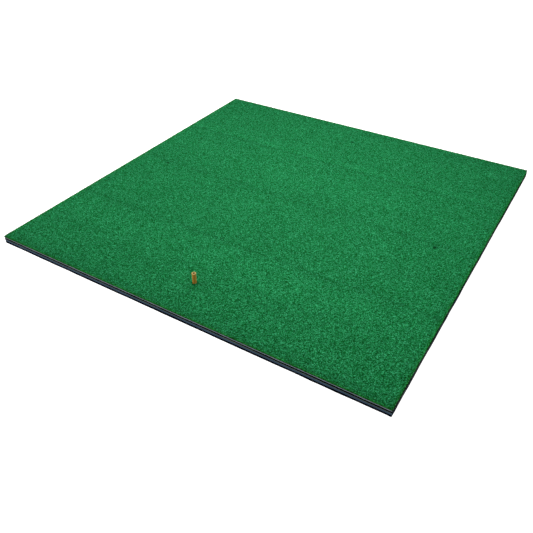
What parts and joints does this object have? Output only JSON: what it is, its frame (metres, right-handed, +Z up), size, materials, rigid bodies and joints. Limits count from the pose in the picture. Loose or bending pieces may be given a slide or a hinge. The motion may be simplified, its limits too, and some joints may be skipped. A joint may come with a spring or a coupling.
{
  "type": "golf hitting mat",
  "caption": "Square layered turf practice mat on a foam and rubber pad, with tee holes near the middle of its sides and a flexible rubber tee that bends and can be pulled out.",
  "frame": {"origin": "centre of the mat's underside, on the floor", "axes": "+Z up, X along the front edge, Y away from the front edge, which is the edge nearest the tee"},
  "size_m": [1.5, 1.5, 0.0703],
  "materials": {
    "grip_rubber": "matte, finely ribbed underside",
    "slate_foam": "knife-cut closed-cell foam",
    "melt_film": "hot-melt film, satin",
    "black_foam": "knife-cut closed-cell foam",
    "latex": "cured latex coat, matte",
    "woven_backing": "woven flat tape",
    "green_yarn": "dense crimped nylon pile",
    "gum_rubber": "moulded natural rubber, satin"
  },
  "bodies": {
    "mat": {"grip_sheet": "grip_rubber", "base_foam": "slate_foam", "bond_film": "melt_film", "shock_foam": "black_foam", "latex_coat": "latex", "primary_backing": "woven_backing", "turf_pile": "green_yarn"},
    "tee_base": {"tee_base": "gum_rubber"},
    "tee_stem": {"tee_stem": "gum_rubber"}
  },
  "joints": [
    {"name": "tee_pull", "type": "slide", "parent": "mat", "child": "tee_base", "axis": [0, 0, -1], "range_m": [0, 0.075]},
    {"name": "tee_bend", "type": "hinge", "parent": "tee_base", "child": "tee_stem", "pos_m": [0, -0.602, 0.0365], "axis": [0, 1, 0], "range_deg": [-60, 60], "stiffness_Nm_per_rad": 0.5}
  ]
}
